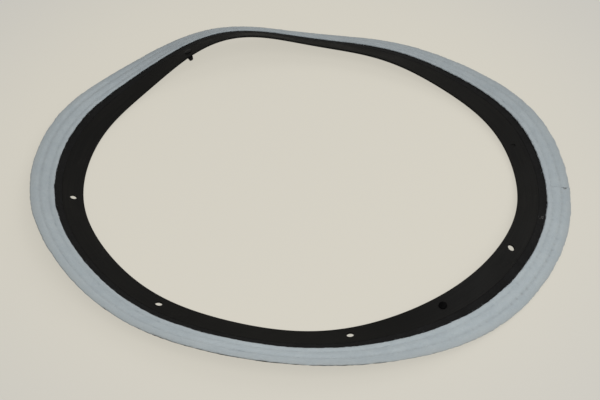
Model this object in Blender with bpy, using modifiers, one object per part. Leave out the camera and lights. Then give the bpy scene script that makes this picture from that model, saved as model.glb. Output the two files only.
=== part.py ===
"""Drum seal of a tumble dryer: a soft rubber carrier ring with two felt strips sewn on to it,
and two plastic pins pushed through it.

Everything is modelled flat about the Z axis, each ring as a turned profile, and then laid down
the way the soft ring rests on a table: a little oval, lifted in low waves and rolled in section.
Metres, +Z up. The origin is on the table, under the middle of the lying ring.
"""

import math
from typing import NamedTuple

import bmesh
import bpy
import numpy as np
from mathutils import Matrix, Vector

# Carrier ring, measured flat
BORE_RADIUS = 0.214
FLANGE_WIDTH = 0.022
FLANGE_THICKNESS = 0.0022
FLANGE_EDGE = 0.0005
SEAT_THICKNESS = 0.0008
SEAT_MARGIN = 0.0020

# Felt strips
BAND_WIDTH = 0.0085
BACKING_THICKNESS = 0.0010
BACKING_INSET = 0.0014
FACING_WIDTH = 0.0249
FACING_THICKNESS = 0.0016
FACING_EDGE = 0.0006
BUTT_GAP = 0.0008
BUTT_BEARING = -3.3

# Sewing
INNER_ROW = 0.0056
OUTER_ROW = 0.0152
THREAD_DIAMETER = 0.0006
CHANNEL_DEPTH = 0.0009
CHANNEL_SHOULDER = 0.0024

# Fixings in the flange
FIXING_INSET = 0.0105
HOLE_DIAMETER = 0.0070
HOLE_BEARINGS = (188.9, 234.0, 280.8, 330.3)
DIMPLE_DIAMETER = 0.0046
DIMPLE_DEPTH = 0.0011
DIMPLE_BEARING = 12.6
FRONT_PIN_BEARING = 304.3
REAR_PIN_BEARING = 123.6

# Push-in pins: domed head on the flange, barbed shank below it
PIN_HEAD_DIAMETER = 0.0080
PIN_HEAD_HEIGHT = 0.0014
PIN_HEAD_RIM = 0.0005
PIN_SHANK_DIAMETER = 0.0036
PIN_BARB_DIAMETER = 0.0060
PIN_TIP_DIAMETER = 0.0038
PIN_REACH = 0.0085
PIN_BARB_LENGTH = 0.0045
PIN_BARB_SLOPE = 0.0010

# How the soft ring lies: waves that push it outwards, lift it and roll its section. The first
# height of a kind is for two waves a turn, or for one a turn in the rolls, and the next for one
# more. A crest is the bearing of a wave's top, and rolls are in degrees.
PUSH_HEIGHTS = (0.0118, 0.0005, 0.0008)
PUSH_CRESTS = (-10.1, 57.3, 25.9)
LIFT_HEIGHTS = (0.0030, 0.0018, 0.0032, 0.0024, 0.0006, 0.0014, 0.0016)
LIFT_CRESTS = (102.0, 104.0, 111.5, 115.1, 110.2, 112.7, 112.9)
MEAN_ROLL = -1.1
ROLL_HEIGHTS = (18.1, 10.6, 7.9, 3.3, 1.2)
ROLL_CRESTS = (-124.4, 29.8, 33.2, 8.6, 1.6)

# Fits and faceting
CLEARANCE = 0.0003
CUT_SPARE = 0.0020
MERGE_DISTANCE = 0.00001
RING_STEPS = 96
THREAD_SIDES = 6
HOLE_SIDES = 20
PIN_STEPS = 20
DOME_STEPS = 4
SHARP_ANGLE = 35.0

# Colours and roughness
RUBBER_COLOR = (0.018, 0.018, 0.017)
RUBBER_ROUGHNESS = 0.55
BACKING_COLOR = (0.010, 0.010, 0.011)
FACING_COLOR = (0.36, 0.42, 0.46)
FELT_ROUGHNESS = 0.95
THREAD_COLOR = (0.30, 0.36, 0.41)
THREAD_ROUGHNESS = 0.80
PLASTIC_COLOR = (0.012, 0.012, 0.013)
PLASTIC_ROUGHNESS = 0.35


class Wave(NamedTuple):
    """One wave around the ring: how many per turn, its height, and the bearing of a crest."""

    per_turn: int
    height: float
    crest: float


# The first push makes the ring oval. The lifts crest together at the back, as one hump there.
PUSHES = [Wave(n, *wave) for n, wave in enumerate(zip(PUSH_HEIGHTS, PUSH_CRESTS), start=2)]
LIFTS = [Wave(n, *wave) for n, wave in enumerate(zip(LIFT_HEIGHTS, LIFT_CRESTS), start=2)]
ROLLS = [Wave(n, *wave) for n, wave in enumerate(zip(ROLL_HEIGHTS, ROLL_CRESTS), start=1)]

# Radii and heights that follow, measured flat from the axis and from the flange's underside
BAND_RADIUS = BORE_RADIUS + FLANGE_WIDTH
FACING_RADIUS = BAND_RADIUS + BAND_WIDTH
OUTER_RADIUS = FACING_RADIUS + FACING_WIDTH
ROW_RADII = (FACING_RADIUS + INNER_ROW, FACING_RADIUS + OUTER_ROW)
SEAT_RADIUS = ROW_RADII[1] + SEAT_MARGIN
FIXING_RADIUS = BORE_RADIUS + FIXING_INSET
BACKING_BASE = SEAT_THICKNESS + CLEARANCE
BACKING_TOP = BACKING_BASE + BACKING_THICKNESS
FACING_BASE = BACKING_TOP + CLEARANCE
FACING_TOP = FACING_BASE + FACING_THICKNESS
THREAD_RADIUS = THREAD_DIAMETER / 2
THREAD_ROOM = THREAD_RADIUS + CLEARANCE
THREAD_HEIGHT = FACING_TOP - CHANNEL_DEPTH + THREAD_ROOM


def clear_scene():
    """Remove whatever the scene holds."""
    for item in list(bpy.data.objects):
        bpy.data.objects.remove(item, do_unlink=True)


def new_collection(name):
    """Make a collection in the scene."""
    collection = bpy.data.collections.new(name)
    bpy.context.scene.collection.children.link(collection)
    return collection


def make_material(name, color, roughness):
    """Make a non-metallic material."""
    material = bpy.data.materials.new(name)
    material.use_nodes = True
    shader = material.node_tree.nodes["Principled BSDF"]
    shader.inputs["Base Color"].default_value = (*color, 1.0)
    shader.inputs["Roughness"].default_value = roughness
    shader.inputs["Metallic"].default_value = 0.0
    material.diffuse_color = (*color, 1.0)
    return material


def add_guide(name, mesh, guides):
    """Add an object that only shapes others, drawn as wire."""
    guide = bpy.data.objects.new(name, mesh)
    guides.objects.link(guide)
    guide.display_type = "WIRE"
    guide.hide_render = True
    return guide


def turned(name, profile, steps, guides):
    """Turn a closed profile of radius and height about Z, as a guide object."""
    points = [(radius, 0.0, height) for radius, height in profile]
    count = len(points)
    mesh = bpy.data.meshes.new(name)
    mesh.from_pydata(points, [(i, (i + 1) % count) for i in range(count)], [])
    guide = add_guide(name, mesh, guides)
    screw = guide.modifiers.new("turn", "SCREW")
    screw.axis = "Z"
    screw.angle = math.tau
    screw.steps = steps
    screw.render_steps = steps
    screw.use_merge_vertices = True
    screw.merge_threshold = MERGE_DISTANCE
    screw.use_smooth_shade = True
    return guide


def cut(target, cutter):
    """Cut one body from another."""
    modifier = target.modifiers.new(f"cut {cutter.name}", "BOOLEAN")
    modifier.operation = "DIFFERENCE"
    modifier.solver = "EXACT"
    modifier.object = cutter


def at_bearing(radius, bearing, height):
    """A point at a bearing in degrees around the flat ring."""
    angle = math.radians(bearing)
    return Vector((radius * math.cos(angle), radius * math.sin(angle), height))


def carrier_profile():
    """Flange with rounded inner edges, and the thin seat in its rebate, top outer corner first."""
    edge = FLANGE_EDGE
    return [
        (SEAT_RADIUS, SEAT_THICKNESS),
        (SEAT_RADIUS, 0.0),
        *[(row, 0.0) for row in reversed(ROW_RADII)],
        (BAND_RADIUS, 0.0),
        (BORE_RADIUS + edge, 0.0),
        (BORE_RADIUS, edge),
        (BORE_RADIUS, FLANGE_THICKNESS - edge),
        (BORE_RADIUS + edge, FLANGE_THICKNESS),
        (BAND_RADIUS - edge, FLANGE_THICKNESS),
        (BAND_RADIUS, FLANGE_THICKNESS - edge),
        (BAND_RADIUS, SEAT_THICKNESS),
        *[(row, SEAT_THICKNESS) for row in ROW_RADII],
    ]


def backing_profile():
    """Plain strip of felt in the rebate, reaching nearly to the outer edge."""
    outer = OUTER_RADIUS - BACKING_INSET
    inner = BAND_RADIUS + CLEARANCE
    return [
        (outer, BACKING_TOP),
        (outer, BACKING_BASE),
        *[(row, BACKING_BASE) for row in reversed(ROW_RADII)],
        (inner, BACKING_BASE),
        (inner, BACKING_TOP),
        *[(row, BACKING_TOP) for row in ROW_RADII],
    ]


def facing_profile():
    """Facing felt, pulled down into a channel under each row of sewing."""
    edge = FACING_EDGE
    top = [(FACING_RADIUS + edge, FACING_TOP)]
    for row in ROW_RADII:
        top.append((row - CHANNEL_SHOULDER, FACING_TOP))
        top.append((row - THREAD_ROOM, FACING_TOP - CHANNEL_DEPTH))
        top.append((row + THREAD_ROOM, FACING_TOP - CHANNEL_DEPTH))
        top.append((row + CHANNEL_SHOULDER, FACING_TOP))
    top.append((OUTER_RADIUS - edge, FACING_TOP))
    return [
        (OUTER_RADIUS, FACING_TOP - edge),
        (OUTER_RADIUS, FACING_BASE),
        *[(row, FACING_BASE) for row in reversed(ROW_RADII)],
        (FACING_RADIUS, FACING_BASE),
        (FACING_RADIUS, FACING_TOP - edge),
        *top,
    ]


def thread_profile(row):
    """Round thread in its channel, walked downwards on its outer side."""
    angles = [math.pi / 2 - math.tau * (i + 0.5) / THREAD_SIDES for i in range(THREAD_SIDES)]
    return [
        (row + THREAD_RADIUS * math.cos(a), THREAD_HEIGHT + THREAD_RADIUS * math.sin(a))
        for a in angles
    ]


def pin_profile():
    """Half section of a push-in pin, from the top of its dome down to its tip."""
    seat = FLANGE_THICKNESS + CLEARANCE
    rim = seat + PIN_HEAD_RIM
    rise = PIN_HEAD_HEIGHT - PIN_HEAD_RIM
    angles = [math.pi / 2 * i / DOME_STEPS for i in range(DOME_STEPS + 1)]
    dome = [(PIN_HEAD_DIAMETER / 2 * math.sin(a), rim + rise * math.cos(a)) for a in angles]
    shank = PIN_SHANK_DIAMETER / 2
    neck = PIN_BARB_LENGTH - PIN_REACH
    return [
        *dome,
        (PIN_HEAD_DIAMETER / 2, seat),
        (shank, seat),
        (shank, neck),
        (PIN_BARB_DIAMETER / 2, neck - PIN_BARB_SLOPE),
        (PIN_TIP_DIAMETER / 2, -PIN_REACH),
        (0.0, -PIN_REACH),
    ]


def drill(ring, name, bearing, radius, guides, floor=-CUT_SPARE):
    """Cut a round hole into the flange at a bearing, right through or down to a floor."""
    body = bmesh.new()
    top = FLANGE_THICKNESS + CUT_SPARE
    bmesh.ops.create_cone(
        body, cap_ends=True, segments=HOLE_SIDES, radius1=radius, radius2=radius, depth=top - floor
    )
    mesh = bpy.data.meshes.new(name)
    body.to_mesh(mesh)
    body.free()
    cutter = add_guide(name, mesh, guides)
    cutter.location = at_bearing(FIXING_RADIUS, bearing, (top + floor) / 2)
    cut(ring, cutter)


def carrier_guide(guides):
    """Flat carrier ring, drilled for its screws and pins, with one blind dimple."""
    ring = turned("flat_carrier", carrier_profile(), RING_STEPS, guides)
    for number, bearing in enumerate(HOLE_BEARINGS, start=1):
        drill(ring, f"screw_hole_{number}", bearing, HOLE_DIAMETER / 2, guides)
    dimple_floor = FLANGE_THICKNESS - DIMPLE_DEPTH
    drill(ring, "dimple", DIMPLE_BEARING, DIMPLE_DIAMETER / 2, guides, dimple_floor)
    pin_hole = PIN_SHANK_DIAMETER / 2 + CLEARANCE
    drill(ring, "front_pin_hole", FRONT_PIN_BEARING, pin_hole, guides)
    drill(ring, "rear_pin_hole", REAR_PIN_BEARING, pin_hole, guides)
    return ring


def pin_guide(name, bearing, guides):
    """Flat place of a pin, upright through the flange."""
    pin = turned(name, pin_profile(), PIN_STEPS, guides)
    pin.location = at_bearing(FIXING_RADIUS, bearing, 0.0)
    return pin


def facing_guide(guides):
    """Flat facing felt, a strip whose two ends butt at one bearing."""
    ring = turned("flat_facing", facing_profile(), RING_STEPS, guides)
    mesh = bpy.data.meshes.new("butt_cutter")
    body = bmesh.new()
    bmesh.ops.create_cube(body, size=1.0)
    reach = FACING_WIDTH + 2 * CUT_SPARE
    height = FACING_THICKNESS + 2 * CUT_SPARE
    bmesh.ops.scale(body, vec=(reach, BUTT_GAP, height), verts=body.verts)
    body.to_mesh(mesh)
    body.free()
    cutter = add_guide("butt_cutter", mesh, guides)
    middle = FACING_RADIUS + FACING_WIDTH / 2
    cutter.location = at_bearing(middle, BUTT_BEARING, (FACING_BASE + FACING_TOP) / 2)
    cutter.rotation_euler = (0.0, 0.0, math.radians(BUTT_BEARING))
    cut(ring, cutter)
    return ring


def split_quads(body):
    """Split each four-sided face from its inner, earlier corner to its outer, later one.

    Layers that lie on each other then bend along the same lines and keep their clearance.
    """
    for face in list(body.faces):
        if len(face.verts) == 4:
            middle = face.calc_center_median()
            corner = face.verts[0].co
            later = middle.x * corner.y - middle.y * corner.x
            outer = corner.xy.length - middle.xy.length
            start = 0 if later * outer > 0 else 1
            bmesh.utils.face_split(face, face.verts[start], face.verts[start + 2])


def flat_mesh(guide, name):
    """A guide's finished flat mesh, in triangles, in world space."""
    graph = bpy.context.evaluated_depsgraph_get()
    mesh = bpy.data.meshes.new_from_object(guide.evaluated_get(graph))
    mesh.name = name
    body = bmesh.new()
    body.from_mesh(mesh)
    body.transform(guide.matrix_world)
    bmesh.ops.remove_doubles(body, verts=body.verts, dist=MERGE_DISTANCE)
    split_quads(body)
    bmesh.ops.triangulate(body, faces=body.faces)
    bmesh.ops.recalc_face_normals(body, faces=body.faces)
    body.to_mesh(mesh)
    body.free()
    return mesh


def wave_sum(waves, angles):
    """Height of some waves at each angle, in the waves' own unit."""
    total = np.zeros_like(angles)
    for wave in waves:
        total += wave.height * np.cos(wave.per_turn * (angles - math.radians(wave.crest)))
    return total


def wave_slope(waves, angles):
    """Rate of change of some waves with the angle."""
    total = np.zeros_like(angles)
    for wave in waves:
        phase = wave.per_turn * (angles - math.radians(wave.crest))
        total -= wave.height * wave.per_turn * np.sin(phase)
    return total


def wave_slide(waves, angles):
    """How far waves that push a round line in and out slide it round, so that none stretches."""
    return sum(wave_slope([wave], angles) / wave.per_turn**2 for wave in waves)


def unit(vectors):
    """Vectors scaled to length one."""
    return vectors / np.linalg.norm(vectors, axis=1)[:, None]


def lie_down(points):
    """Carry flat points to where they lie on the soft ring.

    The line where the facing begins keeps its length: the waves push it in and out and slide
    it round by as much as that needs. The section stays straight and rolls about that line.
    """
    angles = np.arctan2(points[:, 1], points[:, 0])
    offset = np.hypot(points[:, 0], points[:, 1]) - FACING_RADIUS
    rise = points[:, 2] - FACING_TOP
    flat = np.zeros_like(angles)
    outward = np.stack([np.cos(angles), np.sin(angles), flat], axis=1)
    around = np.stack([-np.sin(angles), np.cos(angles), flat], axis=1)
    push = wave_sum(PUSHES, angles)
    slide = wave_slide(PUSHES, angles)
    line = (FACING_RADIUS + push)[:, None] * outward + slide[:, None] * around
    line[:, 2] = wave_sum(LIFTS, angles)
    tangent = (wave_slope(PUSHES, angles) - slide)[:, None] * outward + FACING_RADIUS * around
    tangent[:, 2] = wave_slope(LIFTS, angles)
    tangent = unit(tangent)
    side = unit(np.stack([tangent[:, 1], -tangent[:, 0], flat], axis=1))
    up = np.cross(side, tangent)
    roll = np.radians(MEAN_ROLL + wave_sum(ROLLS, angles))[:, None]
    across = np.cos(roll) * side + np.sin(roll) * up
    normal = np.cos(roll) * up - np.sin(roll) * side
    return line + offset[:, None] * across + rise[:, None] * normal


def mesh_points(mesh):
    """A mesh's corners as an array."""
    points = np.empty(len(mesh.vertices) * 3)
    mesh.vertices.foreach_get("co", points)
    return points.reshape(-1, 3)


def support_normal(points, centre):
    """Outward normal of the hull face that lies under the centre: the ring rests on it."""
    body = bmesh.new()
    for point in points:
        body.verts.new(point)
    bmesh.ops.convex_hull(body, input=body.verts, use_existing_faces=False)
    best = Vector((0.0, 0.0, -1.0))
    for face in body.faces:
        normal = face.normal
        if normal.z < 0.0:
            drop = (face.verts[0].co - centre).dot(normal) / normal.z
            foot = Vector((centre.x, centre.y, centre.z + drop))
            if bmesh.geometry.intersect_face_point(face, foot):
                best = normal.copy()
                break
    body.free()
    return best


def resting_transform(points):
    """Turn the points level on the face they rest on, with the origin under their middle."""
    centre = Vector(points.mean(axis=0))
    turn = support_normal(points, centre).rotation_difference(Vector((0.0, 0.0, -1.0)))
    turned_points = points @ np.array(turn.to_matrix()).T
    low, high = turned_points.min(axis=0), turned_points.max(axis=0)
    middle = (low + high) / 2
    return Matrix.Translation((-middle[0], -middle[1], -low[2])) @ turn.to_matrix().to_4x4()


def build():
    """Model the seal."""
    clear_scene()
    parts = new_collection("dryer_drum_seal")
    guides = new_collection("cutters")
    rubber = make_material("black_rubber", RUBBER_COLOR, RUBBER_ROUGHNESS)
    dark_felt = make_material("black_felt", BACKING_COLOR, FELT_ROUGHNESS)
    blue_felt = make_material("blue_grey_felt", FACING_COLOR, FELT_ROUGHNESS)
    inner_thread = make_material("inner_thread", THREAD_COLOR, THREAD_ROUGHNESS)
    outer_thread = make_material("outer_thread", THREAD_COLOR, THREAD_ROUGHNESS)
    plastic = make_material("black_plastic", PLASTIC_COLOR, PLASTIC_ROUGHNESS)
    inner_ring = turned("flat_inner_thread", thread_profile(ROW_RADII[0]), RING_STEPS, guides)
    outer_ring = turned("flat_outer_thread", thread_profile(ROW_RADII[1]), RING_STEPS, guides)
    backing = turned("flat_backing", backing_profile(), RING_STEPS, guides)
    flat_parts = (
        ("carrier_ring", carrier_guide(guides), rubber),
        ("backing_felt", backing, dark_felt),
        ("facing_felt", facing_guide(guides), blue_felt),
        ("inner_stitching", inner_ring, inner_thread),
        ("outer_stitching", outer_ring, outer_thread),
        ("front_pin", pin_guide("flat_front_pin", FRONT_PIN_BEARING, guides), plastic),
        ("rear_pin", pin_guide("flat_rear_pin", REAR_PIN_BEARING, guides), plastic),
    )
    meshes = []
    for name, guide, material in flat_parts:
        mesh = flat_mesh(guide, name)
        mesh.vertices.foreach_set("co", lie_down(mesh_points(mesh)).ravel())
        mesh.materials.clear()
        mesh.materials.append(material)
        meshes.append(mesh)
    rest = resting_transform(np.concatenate([mesh_points(mesh) for mesh in meshes]))
    for mesh in meshes:
        mesh.transform(rest)
        mesh.shade_smooth()
        mesh.set_sharp_from_angle(angle=math.radians(SHARP_ANGLE))
        mesh.update()
        parts.objects.link(bpy.data.objects.new(mesh.name, mesh))


build()
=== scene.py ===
"""Looks of the dryer drum seal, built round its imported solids.

The two packed rows of sewing say how the soft ring lies. Every piece here is made in section
terms, a bearing round the ring, a distance across it and a height above it, both measured from
the inner row, and is then laid down on those rows. Lengths are in metres, +Z is up.
"""

import math
from typing import NamedTuple

import bmesh
import bpy
import numpy as np
from mathutils import Matrix, Vector

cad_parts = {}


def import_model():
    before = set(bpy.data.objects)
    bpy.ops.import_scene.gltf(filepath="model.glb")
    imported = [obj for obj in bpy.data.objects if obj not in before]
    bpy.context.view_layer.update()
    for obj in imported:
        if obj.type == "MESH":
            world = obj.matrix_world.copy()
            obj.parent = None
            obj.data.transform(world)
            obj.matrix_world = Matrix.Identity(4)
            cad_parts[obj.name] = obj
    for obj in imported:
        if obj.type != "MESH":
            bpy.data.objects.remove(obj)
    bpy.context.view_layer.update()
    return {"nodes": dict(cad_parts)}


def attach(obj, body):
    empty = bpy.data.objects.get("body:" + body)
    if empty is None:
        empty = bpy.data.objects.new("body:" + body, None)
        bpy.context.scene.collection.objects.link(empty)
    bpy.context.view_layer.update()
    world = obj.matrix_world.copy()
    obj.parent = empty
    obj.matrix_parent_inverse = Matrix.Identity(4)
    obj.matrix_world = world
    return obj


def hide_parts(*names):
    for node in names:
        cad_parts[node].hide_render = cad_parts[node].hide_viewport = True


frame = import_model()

# Camera, at the photograph's angle
CAMERA_TARGET = (-0.0011, -0.0281, 0.0)
CAMERA_DISTANCE = 1.16394
CAMERA_ELEVATION = 44.777
CAMERA_AZIMUTH = 0.781
CAMERA_ROLL = -0.577
CAMERA_LENS = 67.446
SENSOR_WIDTH = 36.0

# Light and floor
WORLD_STRENGTH = 0.33
BACKDROP_COLOR = (0.70, 0.67, 0.60)
FLOOR_COLOR = (0.66, 0.63, 0.55)
FLOOR_PLAIN_SHARE = 0.83
# Painted fall-off of light: the floor greys away from its palest place
FLOOR_DIMMED_COLOR = (0.585, 0.570, 0.525)
FLOOR_MIDDLE = (-0.03, 0.05, 0.0)
FLOOR_NEAR = 0.22
FLOOR_FAR = 0.54
FLOOR_BLEND_NEAR = 0.9
FLOOR_BLEND_FAR = 2.6
FLOOR_SIZE = 8.0
FLOOR_ROUGHNESS = 0.9
KEY_PLACE = (1.2, 0.75, 1.9)
KEY_SIZE = 1.6
KEY_POWER = 18.0
FILL_PLACE = (0.35, -0.75, 1.25)
FILL_SIZE = 1.0
FILL_POWER = 15.5

# Materials: base colours, and gloss as a specular level
RUBBER_COLOR = (0.010, 0.010, 0.0095)
RUBBER_DARK = (0.0045, 0.0045, 0.0045)
RUBBER_LIGHT = (0.0070, 0.0068, 0.0062)
RUBBER_DUST = (0.024, 0.023, 0.021)
RUBBER_GLOSS = 0.047
RUBBER_GLOSS_EDGE_ON = 0.013
STREAK_STRETCH = 60.0
BLUE_DARK = (0.285, 0.322, 0.340)
BLUE_LIGHT = (0.318, 0.354, 0.368)
BLUE_FLECK = (0.37, 0.40, 0.41)
# Colour of the painted shade along the sewing and at the butt, and of the darker outer edge
BLUE_SHADE_AND_EDGE_DARK = (0.185, 0.190, 0.180)
BLUE_SHEEN = 0.10
BLACK_DARK = (0.0030, 0.0030, 0.0031)
BLACK_LIGHT = (0.0056, 0.0056, 0.0057)
BLACK_FLECK = (0.014, 0.014, 0.014)
FELT_GLOSS = 0.15
FELT_ROUGHNESS = 0.95
# Painted shade between fibre strands: a share of the dark felt colour
FELT_STRAND_SHADE_SHARE = 0.62
THREAD_COLOR = (0.28, 0.32, 0.34)
THREAD_DARK = (0.25, 0.285, 0.305)
THREAD_LIGHT = (0.31, 0.35, 0.37)
THREAD_GLOSS = 0.25
PALE_FIBRE_COLOR = (0.36, 0.395, 0.415)
DARK_FIBRE_COLOR = (0.012, 0.012, 0.013)
LINT_COLOR = (0.70, 0.69, 0.66)
FIBRE_GLOSS = 0.2
FIBRE_SHADES = (0.75, 1.25)
# One black plastic in two copies: darker as painted shade on the front pin, lighter as painted light on
# the rear pin
PAINTED_SHADE_PLASTIC = ((0.0016, 0.0016, 0.0017), (0.005, 0.005, 0.005), 0.012)
PAINTED_LIGHT_PLASTIC = ((0.0095, 0.0095, 0.0092), (0.016, 0.016, 0.015), 0.035)

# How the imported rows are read
STATIONS = 96
FINE_STEPS = 3840
SECTION_ROUNDS = 6
SAME_POINT = 6
CLEARANCE = 0.0003
EDGE_MARGIN = 0.0010
HOLE_SPREAD = math.radians(2.0)

# Rubber ring
RUBBER_STEPS = 720
RUBBER_EDGE = 0.0005
SHOULDER_EDGE = 0.00014
RUBBER_COLUMN = 0.0020
EDGE_ARC_STEPS = 4
GROOVE = 0.0001
HOLE_CHAMFER = 0.00012
DIMPLE_ROUND = 0.0006
HOLE_SIDES = 48
CUT_SPARE = 0.0020
SHARP_ANGLE = math.radians(40.0)

# Push-in pins
PIN_SIDES = 40
PIN_ROUND_STEPS = 8
PIN_RIM = 0.0004
PIN_BARB_LENGTH = 0.0045
PIN_BARB_ROUND = 0.0012
PIN_SHANK_SHARE = 0.45
PIN_BARB_SHARE = 0.75
PIN_TIP_SHARE = 0.64
PIN_TIP_EDGE = 0.0004

# Felt strips
EDGE_ARC = 72.0
FELT_STEPS = 2160
FELT_COLUMNS = 30
FELT_EDGE = 0.0008
FELT_GRAIN = 0.00007
FELT_GRAIN_SIZE = 0.0009
FELT_SWELL = 0.00008
FELT_SWELL_SIZE = 0.0060
FELT_EDGE_WANDER = 0.00022
FELT_CUT_SIZE = 0.0012
EDGE_SHARE = 0.2
WANDER_SHARES = (0.6, 0.7)
PILLOW = 0.00035
BUTT_BEARING = math.radians(-3.0)
BUTT_GAP = 0.00002
BUTT_OPENING = 0.0021
BUTT_SWELL_PLACE = 0.78
BUTT_SWELL_HALF = 0.085
# Painted shade beside the butt's open part: its strength and half width
BUTT_SHADE = 0.85
BUTT_SHADE_HALF = 0.0014
BUTT_BOW = 0.0016
BUTT_EASE = math.radians(3.0)
UNDER_COLUMNS = 5
BAND_STEPS = 1440
BAND_COLUMN = 0.0005
HIDDEN_COLUMN = 0.0030
BAND_EDGE = 0.0005
BAND_TUCK = 0.0008
BAND_LOFT = 0.0002
BAND_GRAIN = 0.00010
BAND_GRAIN_SIZE = 0.0007
# Darker towards the facing's outer edge: the width and strength of it
OUTER_DARK_WIDTH = 0.0075
OUTER_DARK_SHARE = 0.35
# Painted light on the facing felt round the ring: lighter towards the front, and two lighter stretches
PAINTED_LIGHT_SWING = 0.05
PAINTED_LIGHT_BEARING = math.radians(262.0)
PAINTED_LIGHT_PEAKS = (
    (math.radians(258.0), math.radians(24.0), 0.11),
    (math.radians(150.0), math.radians(16.0), 0.09),
)
FELT_SEED = 11
SEWING_SEED = 23

# Sewing
STITCHES = 190
STITCH_SIDES = 8
STITCH_POINTS = 12
STITCH_RADIUS = 0.00026
STITCH_SLANT = 0.00025
STITCH_SLANT_SPREAD = 0.4
STITCH_DIP = 0.0011
CHANNEL_INNER = 0.0026
CHANNEL_OUTER = 0.0046
CHANNEL_DEPTH = 0.00036
HOLE_PULL = 0.00045
NEEDLE_RADIUS = 0.0014
# Painted shade along the sewing rows and at the needle holes
SHADE_RADIUS = 0.0012
SHADE_HALF = 0.0018
INNER_SHADE = 0.14
OUTER_SHADE = 0.26
LINE_SHADE = 0.62
MARK_SPREAD = 0.45
MARK_RANGE = (0.2, 1.7)
MARK_BEARING = math.radians(-30.0)
MARK_REACH = math.radians(26.0)
MARK_REST = 0.30
STITCH_SPACE = 0.03
STITCH_SQUARE = 4.0
STITCH_RISE = 0.00010
STITCH_TWIST = 0.14
STITCH_TURNS = 2.5
THREAD_TOP = -0.00020
INNER_PHASE = 0.010
OUTER_PHASE = 0.021

# Loose fibres
FIBRE_RADIUS = 0.000028
FIBRE_SIDES = 3
FIBRE_POINTS = 4
FIBRE_TAPER = (1.0, 0.9, 0.7, 0.3)
FIBRE_TURN = 6.0
FIBRE_SIDEWAYS = (0.31, 0.17, 0.93)
FIBRE_ROOT = 0.0001
FIBRE_SEED = 31
LENGTH_SHAPE = 3.0
PALE_FIBRES = 9000
PALE_SHARES = (0.42, 0.33, 0.25)
PALE_EDGE = 0.0009
PALE_LENGTH = 0.00032
PALE_AROUND = 0.9
PALE_LEAN = (0.25, 0.9)
PALE_RISE = (-0.15, 0.5)
PALE_FACE_RISE = (0.10, 0.45)
PALE_CURL = (0.5, 0.4, (0.05, 0.5))
DARK_FIBRES = 8000
DARK_EDGE = 0.0012
DARK_EDGE_SHARE = 0.35
DARK_LENGTH = 0.00036
DARK_AROUND = 0.8
DARK_LEAN = 0.7
DARK_RISE = (0.15, 0.9)
DARK_CURL = (0.5, 0.4, (0.1, 0.6))
LINT_BEARING = math.radians(-14.5)
LINT_SIZE = 0.0009
LINT_FIBRES = 60
LINT_PLACE = -0.0030
LINT_LENGTH = 0.00035
LINT_AROUND = 1.0
LINT_LEAN = (-0.3, 0.8)
LINT_RISE = (0.2, 0.8)
LINT_CURL = (0.8, 0.8, (0.1, 0.5))


def unit(vectors):
    """Vectors scaled to length one."""
    return vectors / np.linalg.norm(vectors, axis=-1, keepdims=True)


def mesh_points(mesh):
    """Places of a mesh's points."""
    points = np.empty(len(mesh.vertices) * 3)
    mesh.vertices.foreach_get("co", points)
    return points.reshape(-1, 3)


def corners(node):
    """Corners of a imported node's mesh."""
    return mesh_points(frame["nodes"][node].data)


def row_line(node):
    """Middle of a packed row of sewing at each of its stations."""
    points = np.unique(np.round(corners(node), SAME_POINT), axis=0)
    turns = np.arctan2(points[:, 1], points[:, 0]) / math.tau
    station = np.round(turns * STATIONS).astype(int) % STATIONS
    return np.array([points[station == i].mean(axis=0) for i in range(STATIONS)])


def closed_curve(values, count):
    """Smooth closed curve through values at equal steps, read again at more equal steps."""
    waves = np.fft.rfft(values, axis=0)
    finer = np.zeros((count // 2 + 1, values.shape[1]), complex)
    finer[: len(waves)] = waves
    return np.fft.irfft(finer, count, axis=0) * (count / len(values))


class Lie:
    """How the soft ring lies: a line round it, and the directions along, across and up."""

    def __init__(self):
        self.line = closed_curve(row_line("inner_stitching"), FINE_STEPS)
        outer = closed_curve(row_line("outer_stitching"), FINE_STEPS)
        steps = np.roll(self.line, -1, axis=0) - np.roll(self.line, 1, axis=0)
        self.along = unit(steps)
        self.across = unit(outer - self.line)
        self.up = unit(np.cross(self.across, self.along))
        self.row_gap = float(np.linalg.norm(outer - self.line, axis=1).mean())
        self.radius = float(np.linalg.norm(steps, axis=1).sum() / 2 / math.tau)

    def read(self, table, bearing):
        """A table's values at some bearings."""
        place = np.asarray(bearing) / math.tau * FINE_STEPS
        low = np.floor(place).astype(int)
        share = (place - low)[..., None]
        return table[low % FINE_STEPS] * (1 - share) + table[(low + 1) % FINE_STEPS] * share

    def lay(self, bearing, across, up):
        """Points of the laid ring from section terms."""
        place = self.read(self.line, bearing)
        place = place + np.asarray(across)[..., None] * self.read(self.across, bearing)
        return place + np.asarray(up)[..., None] * self.read(self.up, bearing)

    def section(self, points):
        """Section terms of points on the laid ring."""
        bearing = np.arctan2(points[:, 1], points[:, 0])
        for _ in range(SECTION_ROUNDS):
            offset = points - self.read(self.line, bearing)
            slip = (offset * self.read(self.along, bearing)).sum(axis=1)
            bearing = bearing + slip / self.radius
        offset = points - self.read(self.line, bearing)
        across = (offset * self.read(self.across, bearing)).sum(axis=1)
        up = (offset * self.read(self.up, bearing)).sum(axis=1)
        return bearing, across, up

    def flat(self, bearing, across, up):
        """The same points on the ring laid out flat and round."""
        radius = self.radius + across
        return np.stack([radius * np.cos(bearing), radius * np.sin(bearing), up], axis=-1)

    def unflat(self, points):
        """Section terms of points on the flat ring."""
        bearing = np.arctan2(points[:, 1], points[:, 0])
        return bearing, np.hypot(points[:, 0], points[:, 1]) - self.radius, points[:, 2]


class Reach(NamedTuple):
    """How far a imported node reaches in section."""

    inner: float
    outer: float
    low: float
    high: float


class Hole(NamedTuple):
    """A round hole in the flange, right through it or down to a floor."""

    bearing: float
    across: float
    radius: float
    floor: float


LIE = Lie()


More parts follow.
